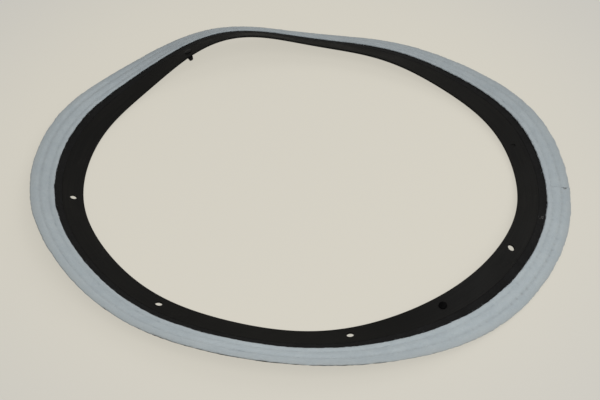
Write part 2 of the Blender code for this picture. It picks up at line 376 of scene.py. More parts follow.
def reach(node):
    """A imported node's reach in section."""
    _, across, up = LIE.section(corners(node))
    return Reach(across.min(), across.max(), up.min(), up.max())


CARRIER = reach("carrier_ring")
BACKING = reach("backing_felt")
FACING = reach("facing_felt")
BAND = BACKING.inner - GROOVE
SEAT_TOP = BACKING.low - CLEARANCE
INNER_ROW = 0.0
OUTER_ROW = LIE.row_gap
ROWS = ((INNER_ROW, INNER_PHASE), (OUTER_ROW, OUTER_PHASE))


def flange_holes():
    """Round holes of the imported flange, found from the corners between its edges."""
    bearing, across, up = LIE.section(corners("carrier_ring"))
    inside = (across > CARRIER.inner + EDGE_MARGIN) & (across < BAND - EDGE_MARGIN)
    bearing, across, up = bearing[inside] % math.tau, across[inside], up[inside]
    order = np.argsort(bearing)
    breaks = np.nonzero(np.diff(bearing[order]) > HOLE_SPREAD)[0] + 1
    holes = []
    for rim in np.split(order, breaks):
        middle = (bearing[rim].min() + bearing[rim].max()) / 2
        low, high = across[rim].min(), across[rim].max()
        holes.append(Hole(middle, (low + high) / 2, (high - low) / 2, up[rim].min()))
    return holes


def pin_holes():
    """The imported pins, each with the flange hole that it stands in."""
    holes = flange_holes()
    found = []
    for node in ("front_pin", "rear_pin"):
        bearing, _, _ = LIE.section(corners(node))
        middle = math.atan2(np.sin(bearing).mean(), np.cos(bearing).mean())
        gaps = [abs(math.remainder(hole.bearing - middle, math.tau)) for hole in holes]
        found.append((node, holes[int(np.argmin(gaps))]))
    return found


def turn_away(bearing, other):
    """Angle between bearings, the short way round."""
    return np.abs(np.remainder(bearing - other + math.pi, math.tau) - math.pi)


def bell(value, half):
    """Bell curve of a value: 1 where it is 0, falling off over a half width."""
    return np.exp(-((value / half) ** 2))


def hole_middle(hole):
    """Middle of a hole on the ring laid out flat."""
    return LIE.flat(np.array(hole.bearing), np.array(hole.across), np.array(0.0))


def soft_noise(rng, shape, spacing, size):
    """Random heights on a grid, smooth over a size, closed both ways, with unit spread."""
    spectrum = np.fft.rfft2(rng.standard_normal(shape))
    around = np.fft.fftfreq(shape[0], spacing[0])[:, None]
    across = np.fft.rfftfreq(shape[1], spacing[1])[None, :]
    spectrum *= np.exp(-2 * (math.pi * size) ** 2 * (around**2 + across**2))
    field = np.fft.irfft2(spectrum, s=shape)
    return (field - field.mean()) / field.std()


def ring_noise(rng, count, size):
    """Random heights round the ring, smooth over a size, with unit spread."""
    spacing = math.tau * LIE.radius / count
    return soft_noise(rng, (count, 1), (spacing, 1.0), size)[:, 0]


def arc(across, up, radius, start, end, steps):
    """Points of an arc in section, angles in degrees from outward towards up."""
    angles = np.radians(np.linspace(start, end, steps + 1))
    return [(across + radius * math.cos(a), up + radius * math.sin(a)) for a in angles]


def line_points(start, end, spacing):
    """Evenly spaced values from start to end."""
    return np.linspace(start, end, max(2, round(abs(end - start) / spacing) + 1))


def new_object(name, data):
    """Object in the scene, made from its data."""
    made = bpy.data.objects.new(name, data)
    bpy.context.scene.collection.objects.link(made)
    return made


def add_piece(name, points, faces, material, flat_points):
    """Make a smooth piece that rides on the ring, with its flat coordinates kept for patterns."""
    mesh = bpy.data.meshes.new(name)
    mesh.from_pydata(points.tolist(), [], faces)
    flat = mesh.attributes.new("flat_place", "FLOAT_VECTOR", "POINT")
    flat.data.foreach_set("vector", flat_points.astype(np.float32).ravel())
    mesh.materials.append(material)
    mesh.shade_smooth()
    piece = new_object(name, mesh)
    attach(piece, "root")
    return piece


def keep_values(piece, name, values):
    """Keep a value at each point of a piece, for its material."""
    kept = piece.data.attributes.new(name, "FLOAT", "POINT")
    kept.data.foreach_set("value", values.astype(np.float32).ravel())


def loft_faces(stations, loop, closed):
    """Quads between the loops of a loft, and its two end faces where it isn't closed."""
    count = stations if closed else stations - 1
    i, j = np.meshgrid(np.arange(count), np.arange(loop), indexing="ij")
    following, beside = (i + 1) % stations, (j + 1) % loop
    quads = np.stack(
        [i * loop + j, following * loop + j, following * loop + beside, i * loop + beside], axis=-1
    )
    faces = quads.reshape(-1, 4).tolist()
    if not closed:
        faces.append(list(range(loop)))
        faces.append(list(range(stations * loop - 1, (stations - 1) * loop - 1, -1)))
    return faces


def loft(name, bearing, across, up, closed, material):
    """Piece through loops of section points: arrays of stations by points of the loop."""
    stations, loop = across.shape
    bearing = np.broadcast_to(bearing, across.shape)
    points = LIE.lay(bearing, across, up).reshape(-1, 3)
    flat = LIE.flat(bearing, across, up).reshape(-1, 3)
    return add_piece(name, points, loft_faces(stations, loop, closed), material, flat)


class Nodes:
    """A material's or a world's node tree, with short ways to add to it."""

    def __init__(self, owner):
        owner.use_nodes = True
        self.tree = owner.node_tree

    def join(self, socket, value):
        """Link an input to an output, or set it to a value."""
        if isinstance(value, bpy.types.NodeSocket):
            self.tree.links.new(value, socket)
        else:
            socket.default_value = value

    def feed(self, node, name, value):
        """Link or set a node's input by name."""
        self.join(node.inputs[name], value)

    def add(self, kind, **inputs):
        """Add a node and link or set its inputs by name."""
        node = self.tree.nodes.new(kind)
        for name, value in inputs.items():
            self.feed(node, name.replace("_", " "), value)
        return node

    def combine(self, kind, operation, *values):
        """Add a node of maths and link or set its inputs in their order."""
        node = self.tree.nodes.new(kind)
        node.operation = operation
        for socket, value in zip(node.inputs, values):
            self.join(socket, value)
        return node

    def maths(self, operation, *values):
        """Combine values."""
        return self.combine("ShaderNodeMath", operation, *values).outputs["Value"]

    def vectors(self, operation, *values):
        """Combine vectors into a vector or a value, which are both outputs."""
        return self.combine("ShaderNodeVectorMath", operation, *values).outputs

    def kept(self, name, output="Fac"):
        """What is kept under a name at each point of the mesh, 0 where there is nothing."""
        node = self.add("ShaderNodeAttribute")
        node.attribute_name = name
        return node.outputs[output]

    def place(self):
        """Coordinates on the ring laid out flat, in metres."""
        return self.kept("flat_place", "Vector")

    def radius(self, place):
        """Distance from the ring's axis, laid out flat."""
        level = self.vectors("MULTIPLY", place, (1.0, 1.0, 0.0))["Vector"]
        return self.vectors("LENGTH", level)["Value"]

    def noise(self, vector, scale, detail=2.0, roughness=0.5, distortion=0.0):
        """Noise value over some coordinates."""
        node = self.add(
            "ShaderNodeTexNoise",
            Vector=vector,
            Scale=scale,
            Detail=detail,
            Roughness=roughness,
            Distortion=distortion,
        )
        return node.outputs["Fac"]

    def spread(self, value, low, high, to_low=0.0, to_high=1.0, curve="LINEAR"):
        """Map a range of values to another, clamped."""
        node = self.add(
            "ShaderNodeMapRange",
            Value=value,
            From_Min=low,
            From_Max=high,
            To_Min=to_low,
            To_Max=to_high,
        )
        node.interpolation_type = curve
        return node.outputs["Result"]

    def mix(self, factor, first, second):
        """Mix two colours."""
        node = self.tree.nodes.new("ShaderNodeMix")
        node.data_type = "RGBA"
        sockets = (node.inputs["Factor"], node.inputs[6], node.inputs[7])
        for socket, value in zip(sockets, (factor, first, second)):
            self.join(socket, (*value, 1.0) if isinstance(value, tuple) else value)
        return node.outputs[2]

    def bump(self, height, distance, strength=1.0, normal=None):
        """Bump from a height, on top of another normal if there is one."""
        node = self.add("ShaderNodeBump", Height=height, Distance=distance, Strength=strength)
        if normal is not None:
            self.feed(node, "Normal", normal)
        return node.outputs["Normal"]


class Surface(Nodes):
    """A new material's node tree, with its shader."""

    def __init__(self, name, color, roughness):
        self.material = bpy.data.materials.new(name)
        super().__init__(self.material)
        self.material.diffuse_color = (*color, 1.0)
        self.shader = self.tree.nodes["Principled BSDF"]
        self.feed(self.shader, "Base Color", (*color, 1.0))
        self.feed(self.shader, "Roughness", roughness)


def rubber_material():
    """Satin black rubber: fine grain, slow waves, faint flow streaks, dust, less gloss edge-on."""
    nodes = Surface("black_rubber", RUBBER_COLOR, 0.50)
    place = nodes.place()
    across = nodes.maths("MULTIPLY", nodes.radius(place), STREAK_STRETCH)
    stretched = nodes.add("ShaderNodeCombineXYZ", X=across).outputs["Vector"]
    streak_place = nodes.vectors("ADD", stretched, place)["Vector"]
    streaks = nodes.noise(streak_place, scale=14.0, detail=3.0)
    cloud = nodes.noise(place, scale=28.0, detail=3.0, roughness=0.6)
    dust = nodes.noise(place, scale=900.0)
    grain = nodes.noise(place, scale=1800.0)
    waves = nodes.noise(place, scale=45.0, detail=1.0)
    tone = nodes.mix(nodes.spread(streaks, 0.35, 0.70), RUBBER_DARK, RUBBER_LIGHT)
    dust_and_painted_light = nodes.spread(nodes.maths("MULTIPLY", dust, cloud), 0.36, 0.46, 0.0, 0.35)
    nodes.feed(nodes.shader, "Base Color", nodes.mix(dust_and_painted_light, tone, RUBBER_DUST))
    rough = nodes.spread(cloud, 0.3, 0.7, 0.42, 0.60)
    nodes.feed(nodes.shader, "Roughness", rough)
    edge_on = nodes.add("ShaderNodeLayerWeight", Blend=0.5).outputs["Facing"]
    gloss = nodes.spread(edge_on, 0.38, 0.76, RUBBER_GLOSS, RUBBER_GLOSS_EDGE_ON)
    nodes.feed(nodes.shader, "Specular IOR Level", gloss)
    slow_bump = nodes.bump(waves, distance=0.0010, strength=0.35)
    fine_bump = nodes.bump(grain, distance=0.00006, strength=0.6, normal=slow_bump)
    nodes.feed(nodes.shader, "Normal", fine_bump)
    return nodes.material


def felt_material(name, dark, light, fleck, sheen, painted_shade=None):
    """Pressed felt: mottled colour, matted fibres and flecks, painted shade between the strands and
    along the sewing, darker towards the outer edge, and painted light round the ring.
    """
    nodes = Surface(name, light, FELT_ROUGHNESS)
    place = nodes.place()
    mottle = nodes.noise(place, scale=60.0, detail=3.0, roughness=0.6)
    matting = nodes.noise(place, scale=700.0, detail=3.0, roughness=0.7, distortion=1.2)
    strands = nodes.noise(place, scale=1500.0, roughness=0.6, distortion=3.0)
    tone = nodes.mix(nodes.spread(mottle, 0.32, 0.68), dark, light)
    lit = nodes.mix(nodes.spread(matting, 0.52, 0.72, 0.0, 0.55), tone, fleck)
    # Painted shade between the fibre strands
    shade = nodes.spread(strands, 0.30, 0.48, 0.35, 0.0)
    strand_shade_color = tuple(FELT_STRAND_SHADE_SHARE * value for value in dark)
    color = nodes.mix(shade, lit, strand_shade_color)
    if painted_shade is not None:
        # Darker towards the outer edge, in patches
        edge = LIE.radius + FACING.outer
        outer_dark = nodes.spread(nodes.radius(place), edge - OUTER_DARK_WIDTH, edge, 0.0, OUTER_DARK_SHARE)
        outer_dark = nodes.maths("MULTIPLY", outer_dark, nodes.spread(mottle, 0.25, 0.60, 0.5, 1.0))
        # Mix in the painted shade along the sewing, and the darker outer edge
        color = nodes.mix(nodes.maths("MAXIMUM", nodes.kept("sewing_shade"), outer_dark), color, painted_shade)
        # Painted light: the felt's brightness scaled round the ring
        relit = nodes.add("ShaderNodeHueSaturation", Value=nodes.kept("felt_painted_light"), Color=color)
        color = relit.outputs["Color"]
    nodes.feed(nodes.shader, "Base Color", color)
    nodes.feed(nodes.shader, "Specular IOR Level", FELT_GLOSS)
    nodes.feed(nodes.shader, "Sheen Weight", sheen)
    nodes.feed(nodes.shader, "Sheen Roughness", 0.6)
    coarse = nodes.bump(matting, distance=0.00030, strength=0.55)
    fine = nodes.bump(strands, distance=0.00015, strength=0.5, normal=coarse)
    nodes.feed(nodes.shader, "Normal", fine)
    return nodes.material


def thread_material():
    """Twisted sewing thread, a little darker than the felt."""
    nodes = Surface("blue_grey_thread", THREAD_COLOR, 0.85)
    fray = nodes.noise(nodes.place(), scale=2500.0)
    tone = nodes.mix(nodes.spread(fray, 0.35, 0.65), THREAD_DARK, THREAD_LIGHT)
    nodes.feed(nodes.shader, "Base Color", tone)
    nodes.feed(nodes.shader, "Specular IOR Level", THREAD_GLOSS)
    nodes.feed(nodes.shader, "Normal", nodes.bump(fray, distance=0.00005, strength=0.5))
    return nodes.material


def fibre_material(name, color):
    """Loose felt fibres, each a little lighter or darker."""
    nodes = Surface(name, color, 0.9)
    shade = nodes.noise(nodes.place(), scale=300.0, detail=1.0)
    dark, light = (tuple(share * value for value in color) for share in FIBRE_SHADES)
    nodes.feed(nodes.shader, "Base Color", nodes.mix(shade, dark, light))
    nodes.feed(nodes.shader, "Specular IOR Level", FIBRE_GLOSS)
    return nodes.material


def plastic_material(name, dark, light, gloss):
    """Moulded black plastic of a pin, with fine scuffs."""
    nodes = Surface(name, dark, 0.40)
    scuffs = nodes.noise(nodes.place(), scale=600.0, detail=4.0, roughness=0.7)
    nodes.feed(nodes.shader, "Roughness", nodes.spread(scuffs, 0.35, 0.65, 0.36, 0.52))
    nodes.feed(nodes.shader, "Specular IOR Level", gloss)
    tone = nodes.mix(nodes.spread(scuffs, 0.55, 0.75), dark, light)
    nodes.feed(nodes.shader, "Base Color", tone)
    nodes.feed(nodes.shader, "Normal", nodes.bump(scuffs, distance=0.00004, strength=0.4))
    return nodes.material


def rubber_outline():
    """Section of the rubber ring as a closed loop: flange with rounded edges, and thin seat."""
    edge = RUBBER_EDGE
    inner, outer, low, high = CARRIER
    bottom = [(a, low) for a in line_points(outer, inner + edge, RUBBER_COLUMN)[:-1]]
    wall_low = arc(inner + edge, low + edge, edge, 270.0, 180.0, EDGE_ARC_STEPS)
    wall_high = arc(inner + edge, high - edge, edge, 180.0, 90.0, EDGE_ARC_STEPS)
    top = [(a, high) for a in line_points(inner + edge, BAND - SHOULDER_EDGE, RUBBER_COLUMN)[1:-1]]
    small = SHOULDER_EDGE
    shoulder = arc(BAND - small, high - small, small, 90.0, 0.0, EDGE_ARC_STEPS)
    seat = [(BAND, SEAT_TOP), (outer, SEAT_TOP)]
    return np.array(bottom + wall_low + wall_high + top + shoulder + seat)


def turned_mesh(outline, sides):
    """Closed mesh of an outline of radius and height turned about the Z axis."""
    body = bmesh.new()
    rings = []
    for radius, height in outline:
        if radius == 0.0:
            rings.append([body.verts.new((0.0, 0.0, height))])
            continue
        angles = [math.tau * i / sides for i in range(sides)]
        ring = [body.verts.new((radius * math.cos(a), radius * math.sin(a), height)) for a in angles]
        rings.append(ring)
    for first, second in zip(rings, rings[1:]):
        for i in range(sides):
            j = (i + 1) % sides
            corner = [first[i % len(first)], first[j % len(first)]]
            corner += [second[j % len(second)], second[i % len(second)]]
            face = list(dict.fromkeys(corner))
            body.faces.new(face)
    bmesh.ops.recalc_face_normals(body, faces=body.faces)
    return body


def drill_outline(hole):
    """Outline of a drill, flared at the flange's faces, or with a round end for a blind dimple."""
    low, high = CARRIER.low, CARRIER.high
    wide = hole.radius + HOLE_CHAMFER
    outline = [
        (0.0, high + CUT_SPARE),
        (wide + CUT_SPARE, high + CUT_SPARE),
        (wide, high),
        (hole.radius, high - HOLE_CHAMFER),
    ]
    if hole.floor > (low + high) / 2 - HOLE_CHAMFER:
        corner = hole.radius - DIMPLE_ROUND
        outline += arc(corner, hole.floor + DIMPLE_ROUND, DIMPLE_ROUND, 0.0, -90.0, EDGE_ARC_STEPS)
        outline.append((0.0, hole.floor))
    else:
        outline += [(hole.radius, low + HOLE_CHAMFER), (wide, low)]
        outline += [(wide + CUT_SPARE, low - CUT_SPARE), (0.0, low - CUT_SPARE)]
    return outline


def hole_cutters(holes):
    """One mesh of all the drills."""
    body = bmesh.new()
    for hole in holes:
        drill = turned_mesh(drill_outline(hole), HOLE_SIDES)
        drill.transform(Matrix.Translation(Vector(hole_middle(hole))))
        scratch = bpy.data.meshes.new("drill")
        drill.to_mesh(scratch)
        drill.free()
        body.from_mesh(scratch)
        bpy.data.meshes.remove(scratch)
    return body


def scratch_object(name, body):
    """Object from a bmesh, for a Boolean, which is removed later."""
    mesh = bpy.data.meshes.new(name)
    body.to_mesh(mesh)
    body.free()
    return new_object(name, mesh)


def rubber_ring(material):
    """Rubber ring, drilled while flat and then laid down."""
    outline = rubber_outline()
    bearing = np.linspace(0.0, math.tau, RUBBER_STEPS, endpoint=False)[:, None]
    across = np.broadcast_to(outline[:, 0], (RUBBER_STEPS, len(outline)))
    up = np.broadcast_to(outline[:, 1], across.shape)
    flat = LIE.flat(np.broadcast_to(bearing, across.shape), across, up).reshape(-1, 3)
    whole = bpy.data.meshes.new("flat_rubber")
    whole.from_pydata(flat.tolist(), [], loft_faces(RUBBER_STEPS, len(outline), True))
    body = bmesh.new()
    body.from_mesh(whole)
    bmesh.ops.recalc_face_normals(body, faces=body.faces)
    ring = scratch_object("flat_rubber_ring", body)
    cutter = scratch_object("flat_drills", hole_cutters(flange_holes()))
    cut = ring.modifiers.new("holes", "BOOLEAN")
    cut.operation = "DIFFERENCE"
    cut.solver = "EXACT"
    cut.object = cutter
    graph = bpy.context.evaluated_depsgraph_get()
    mesh = bpy.data.meshes.new_from_object(ring.evaluated_get(graph))
    body = bmesh.new()
    body.from_mesh(mesh)
    bmesh.ops.triangulate(body, faces=[face for face in body.faces if len(face.verts) > 4])
    body.to_mesh(mesh)
    body.free()
    flat = mesh_points(mesh)
    faces = [list(face.vertices) for face in mesh.polygons]
    for scratch in (ring, cutter):
        bpy.data.objects.remove(scratch, do_unlink=True)
    laid = LIE.lay(*LIE.unflat(flat))
    piece = add_piece("rubber_ring", laid, faces, material, flat)
    piece.data.set_sharp_from_angle(angle=SHARP_ANGLE)
    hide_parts("carrier_ring")


def pin_outline(packed):
    """Outline of a push-in pin from the top of its dome to its tip, for a packed pin's reach."""
    head = (packed.outer - packed.inner) / 2
    seat = CARRIER.high + CLEARANCE
    rim = seat + PIN_RIM
    shank = head * PIN_SHANK_SHARE
    barb = head * PIN_BARB_SHARE
    quarter = np.linspace(0.0, math.pi / 2, PIN_ROUND_STEPS + 1)
    outline = [(head * math.sin(a), rim + (packed.high - rim) * math.cos(a)) for a in quarter]
    neck = packed.low + PIN_BARB_LENGTH
    outline += [(head, seat), (shank, seat), (shank, neck)]
    corner = (barb - PIN_BARB_ROUND, neck - PIN_BARB_ROUND)
    outline += arc(*corner, PIN_BARB_ROUND, 90.0, 0.0, EDGE_ARC_STEPS)
    tip = barb * PIN_TIP_SHARE
    outline += [(tip + PIN_TIP_EDGE, packed.low + PIN_TIP_EDGE), (tip, packed.low), (0.0, packed.low)]
    outline[0] = (0.0, packed.high)
    return outline


def push_pin(node, hole, material):
    """A push-in pin through its hole in the flange."""
    body = turned_mesh(pin_outline(reach(node)), PIN_SIDES)
    points = np.array([v.co for v in body.verts]) + hole_middle(hole)
    body.verts.ensure_lookup_table()
    faces = [[v.index for v in face.verts] for face in body.faces]
    laid = LIE.lay(*LIE.unflat(points))
    piece = add_piece(f"{node}_turned", laid, faces, material, points)
    piece.data.set_sharp_from_angle(angle=SHARP_ANGLE)
    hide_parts(node)
    body.free()


def row_depth(across, row):
    """How deep a row pulls the felt down: steep on its inner side, and slow on its outer side."""
    half = np.where(across < row, CHANNEL_INNER, CHANNEL_OUTER)
    share = np.clip(1 - np.abs(across - row) / half, 0.0, 1.0)
    return share**2 * (3 - 2 * share)


def needle_slip(bearing, across, row, phase):
    """Distance from each point to the nearest needle hole of a row."""
    step = math.tau / STITCHES
    along = (bearing - phase) / step
    off = (along - np.round(along)) * step * (LIE.radius + row)
    return np.hypot(off, across - row)


def mark_strength(bearing):
    """How plainly the needle holes show: plain at the right front, and faint elsewhere."""
    return MARK_REST + (1 - MARK_REST) * bell(turn_away(bearing, MARK_BEARING), MARK_REACH)


def felt_top(bearing, across):
    """Height of the facing's top: pillows between its edges and rows, channels and needle holes."""
    inner, outer, low, high = FACING
    marks = np.array([inner, INNER_ROW, OUTER_ROW, outer])
    middle, half = (marks[1:] + marks[:-1]) / 2, (marks[1:] - marks[:-1]) / 2
    top = np.full(across.shape, high)
    for centre, reach_half in zip(middle, half):
        share = np.clip(np.abs(across - centre) / reach_half, 0.0, 1.0)
        top += np.where(share < 1.0, PILLOW * (1 - share**2), 0.0)
    for row, phase in ROWS:
        top -= CHANNEL_DEPTH * row_depth(across, row)
        slip = needle_slip(bearing, across, row, phase)
        top -= HOLE_PULL * mark_strength(bearing) * bell(slip, NEEDLE_RADIUS)
    return top


def sewing_shade(bearing, across):
    """Painted shade along the felt's rows: a faint line, and a mark at each needle hole."""
    rng = np.random.default_rng(SEWING_SEED)
    painted_shade = np.zeros(across.shape)
    for (row, phase), depth in zip(ROWS, (INNER_SHADE, OUTER_SHADE)):
        strength = np.clip(rng.normal(1.0, MARK_SPREAD, STITCHES), *MARK_RANGE)
        hole = np.round((bearing - phase) / (math.tau / STITCHES)).astype(int) % STITCHES
        mark = bell(needle_slip(bearing, across, row, phase), SHADE_RADIUS)
        line = bell(across - row, SHADE_HALF)
        mark = mark * strength[hole] * mark_strength(bearing)
        painted_shade = np.maximum(painted_shade, depth * (LINE_SHADE * line + mark))
    return np.clip(painted_shade, 0.0, 1.0)


def strip_loop(packed, edge, top):
    """Loop of a strip's section: distances across, and a share of the height from 0 to 1."""
    out = arc(packed.outer - edge, 0.0, edge, EDGE_ARC, -EDGE_ARC, EDGE_ARC_STEPS)
    back = arc(packed.inner + edge, 0.0, edge, 180.0 + EDGE_ARC, 180.0 - EDGE_ARC, EDGE_ARC_STEPS)
    under = np.linspace(packed.outer - edge, packed.inner + edge, UNDER_COLUMNS)
    across = [*top, *(a for a, _ in out), *under, *(a for a, _ in back)]
    lift = [1.0] * len(top)
    lift += [0.5 + 0.5 * u / edge for _, u in out]
    lift += [0.0] * UNDER_COLUMNS
    lift += [0.5 + 0.5 * u / edge for _, u in back]
    return np.array(across), np.array(lift)


def edge_pull(packed, across):
    """How much a strip's uneven edges move each point: 1 at the edges, and 0 in the middle."""
    half = (packed.outer - packed.inner) / 2
    out = np.abs(across - (packed.inner + packed.outer) / 2) / half
    return np.clip(1 - (1 - out) / EDGE_SHARE, 0.0, 1.0)


def edge_wander(rng, count):
    """Uneven run of a cut felt edge: slow swings and short nibbles."""
    sizes = zip((FELT_SWELL_SIZE, FELT_CUT_SIZE), WANDER_SHARES)
    return FELT_EDGE_WANDER * sum(share * ring_noise(rng, count, size) for size, share in sizes)


def butt_swell(across):
    """How far the butt gapes at each distance across, from 0 to 1: only in its outer part."""
    share = (across - FACING.inner) / (FACING.outer - FACING.inner)
    return bell(share - BUTT_SWELL_PLACE, BUTT_SWELL_HALF)


def butt_shade(bearing, across):
    """Painted shade on the felt beside the open part of its butt, from 0 to 1."""
    swell = butt_swell(across)
    middle = BUTT_BEARING - BUTT_BOW * swell / LIE.radius
    away = turn_away(bearing, middle) * LIE.radius
    return BUTT_SHADE * swell * bell(away, BUTT_SHADE_HALF)


def facing_bearing(loop_across):
    """Bearings of the facing's stations from one end to the other, with the butt's small crescent."""
    stations = np.linspace(0.0, 1.0, FELT_STEPS)[:, None]
    swell = butt_swell(loop_across)[None, :]
    shift = (BUTT_GAP + BUTT_OPENING * swell) / 2 / LIE.radius
    bow = -BUTT_BOW * swell / LIE.radius
    ends = np.exp(-np.minimum(stations, 1 - stations) * math.tau / BUTT_EASE)
    return BUTT_BEARING + shift + bow * ends + stations * (math.tau - 2 * shift)


def facing_painted_light(bearing):
    """Painted light round the ring: how light the felt is, a slow swing lighter towards the front, and
    two lighter stretches.
    """
    tone = 1 + PAINTED_LIGHT_SWING * np.cos(bearing - PAINTED_LIGHT_BEARING)
    for peak, half, rise in PAINTED_LIGHT_PEAKS:
        tone += rise * bell(turn_away(bearing, peak), half)
    return tone


def facing_strip(material):
    """Facing felt: one strip sewn down along two rows, its ends meeting at the butt."""
    rng = np.random.default_rng(FELT_SEED)
    inner, outer, low, high = FACING
    columns = np.linspace(inner + FELT_EDGE, outer - FELT_EDGE, FELT_COLUMNS)
    loop_across, lift = strip_loop(FACING, FELT_EDGE, columns)
    bearing = facing_bearing(loop_across)
    inner_run, outer_run = edge_wander(rng, FELT_STEPS), edge_wander(rng, FELT_STEPS)
    run = np.where(loop_across > (inner + outer) / 2, outer_run[:, None], inner_run[:, None])
    across = loop_across[None, :] + run * edge_pull(FACING, loop_across)[None, :]
    top = felt_top(bearing, across)
    spacing = (math.tau * LIE.radius / FELT_STEPS, (outer - inner) / len(loop_across) * 2)
    grain = soft_noise(rng, across.shape, spacing, FELT_GRAIN_SIZE)
    waves = soft_noise(rng, across.shape, spacing, FELT_SWELL_SIZE)
    top += FELT_GRAIN * grain + FELT_SWELL * waves
    up = low + (top - low) * lift[None, :]
    outer_edge = slice(FELT_COLUMNS, FELT_COLUMNS + EDGE_ARC_STEPS + 1)
    across[:, outer_edge] += FELT_GRAIN * grain[:, outer_edge]
    piece = loft("facing_strip", bearing, across, up, False, material)
    # Painted shade along the sewing and beside the butt, kept for the material
    painted_shade = np.maximum(sewing_shade(bearing, across), butt_shade(bearing, across)) * lift[None, :]
    keep_values(piece, "sewing_shade", painted_shade)
    # Painted light round the ring, kept for the material
    keep_values(piece, "felt_painted_light", facing_painted_light(bearing))
    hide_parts("facing_felt")
    return piece


def backing_strip(material):
    """Backing felt: a matted band whose bare part shows between the rubber and the facing."""
    rng = np.random.default_rng(FELT_SEED + 1)
    inner, outer, low, high = BACKING
    bare = line_points(inner + BAND_EDGE, FACING.inner + BAND_TUCK, BAND_COLUMN)
    hidden = line_points(FACING.inner + BAND_TUCK, outer - BAND_EDGE, HIDDEN_COLUMN)[1:]
    loop_across, lift = strip_loop(BACKING, BAND_EDGE, np.concatenate([bare, hidden]))
    bearing = np.linspace(0.0, math.tau, BAND_STEPS, endpoint=False)[:, None]
    spacing = (math.tau * LIE.radius / BAND_STEPS, BAND_COLUMN)
    grain = soft_noise(rng, (BAND_STEPS, len(loop_across)), spacing, BAND_GRAIN_SIZE)
    run = np.where(loop_across > 0.0, edge_wander(rng, BAND_STEPS)[:, None], 0.0)
    across = loop_across[None, :] + run * edge_pull(BACKING, loop_across)[None, :]
    proud = np.where(loop_across < FACING.inner - BAND_TUCK, 1.0, 0.0)[None, :]
    top = high + proud * (BAND_LOFT + BAND_GRAIN * grain)
    up = low + (top - low) * lift[None, :]
    piece = loft("backing_strip", bearing, across, up, True, material)
    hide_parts("backing_felt")
    return piece


def stitch_row(name, row, phase, material, node):
    """A row of single stitches: each comes up through a needle hole, lies slack and goes down."""
    rng = np.random.default_rng(SEWING_SEED)
    share = np.linspace(0.0, 1.0, STITCH_POINTS)
    arch = 1 - np.abs(2 * share - 1) ** STITCH_SQUARE
    turns = np.linspace(0.0, math.tau, STITCH_SIDES, endpoint=False)
    step = math.tau / STITCHES
    span = step * (1 - STITCH_SPACE)
    whole = loft_faces(STITCH_POINTS, STITCH_SIDES, False)
    verts, flats, faces = [], [], []
    for stitch in range(STITCHES):
        lean = STITCH_SLANT * rng.normal(1.0, STITCH_SLANT_SPREAD)
        rise = rng.normal(0.0, STITCH_RISE)
        bearing = phase + stitch * step + step * STITCH_SPACE / 2 + share * span
        across = row + lean * (1 - 2 * share)
        up = THREAD_TOP - STITCH_DIP * (1 - arch) + rise * arch
        lobes = 1 + STITCH_TWIST * np.cos(2 * turns[None, :] + share[:, None] * STITCH_TURNS * math.tau)
        radius = STITCH_RADIUS * lobes
        loop_across = across[:, None] + radius * np.cos(turns)[None, :]
        loop_up = up[:, None] + radius * np.sin(turns)[None, :]
        bearings = np.broadcast_to(bearing[:, None], loop_up.shape)
        verts.append(LIE.lay(bearings, loop_across, loop_up).reshape(-1, 3))
        flats.append(LIE.flat(bearings, loop_across, loop_up).reshape(-1, 3))
        base = stitch * STITCH_POINTS * STITCH_SIDES
        faces += [[base + corner for corner in face] for face in whole]
    piece = add_piece(name, np.concatenate(verts), faces, material, np.concatenate(flats))
    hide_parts(node)


def fibre_tuft(name, roots, slants, lengths, curls, material):
    """Loose fibres as thin closed threads: roots in section terms, and the way each one leans."""
    rng = np.random.default_rng(len(roots))
    count = len(roots)
    share = np.linspace(0.0, 1.0, FIBRE_POINTS)[None, :, None]
    path = roots[:, None, :] + slants[:, None, :] * lengths[:, None, None] * share
    path = path + curls[:, None, :] * lengths[:, None, None] * share**2
    bearing = path[..., 0]
    turns = np.linspace(0.0, math.tau, FIBRE_SIDES, endpoint=False)
    turns = turns + rng.uniform(0.0, FIBRE_TURN, (count, 1))
    girth = FIBRE_RADIUS * np.array(FIBRE_TAPER)[None, :, None]
    centre = LIE.lay(bearing, path[..., 1], path[..., 2])
    aim = unit(np.gradient(centre, axis=1))
    side = unit(np.cross(aim, np.array(FIBRE_SIDEWAYS)))
    other = np.cross(aim, side)
    ring = np.cos(turns)[:, None, :, None] * side[:, :, None, :]
    ring = ring + np.sin(turns)[:, None, :, None] * other[:, :, None, :]
    points = centre[:, :, None, :] + ring * girth[..., None]
    flat = LIE.flat(bearing, path[..., 1], path[..., 2])[:, :, None, :] + ring * girth[..., None]
    bases = np.arange(count)[:, None, None] * FIBRE_POINTS * FIBRE_SIDES
    faces = []
    for size in (4, 3):
        one = [face for face in loft_faces(FIBRE_POINTS, FIBRE_SIDES, False) if len(face) == size]
        faces += (np.array(one)[None] + bases).reshape(-1, size).tolist()
    return add_piece(name, points.reshape(-1, 3), faces, material, flat.reshape(-1, 3))


def fibre_curls(rng, count, around, across, down):
    """How fibres curl: spreads of it round and across the ring, and a range of it downwards."""
    turned = rng.normal(0.0, around, count) / LIE.radius
    outward = rng.normal(0.0, across, count)
    return np.stack([turned, outward, -rng.uniform(*down, count)], 1)


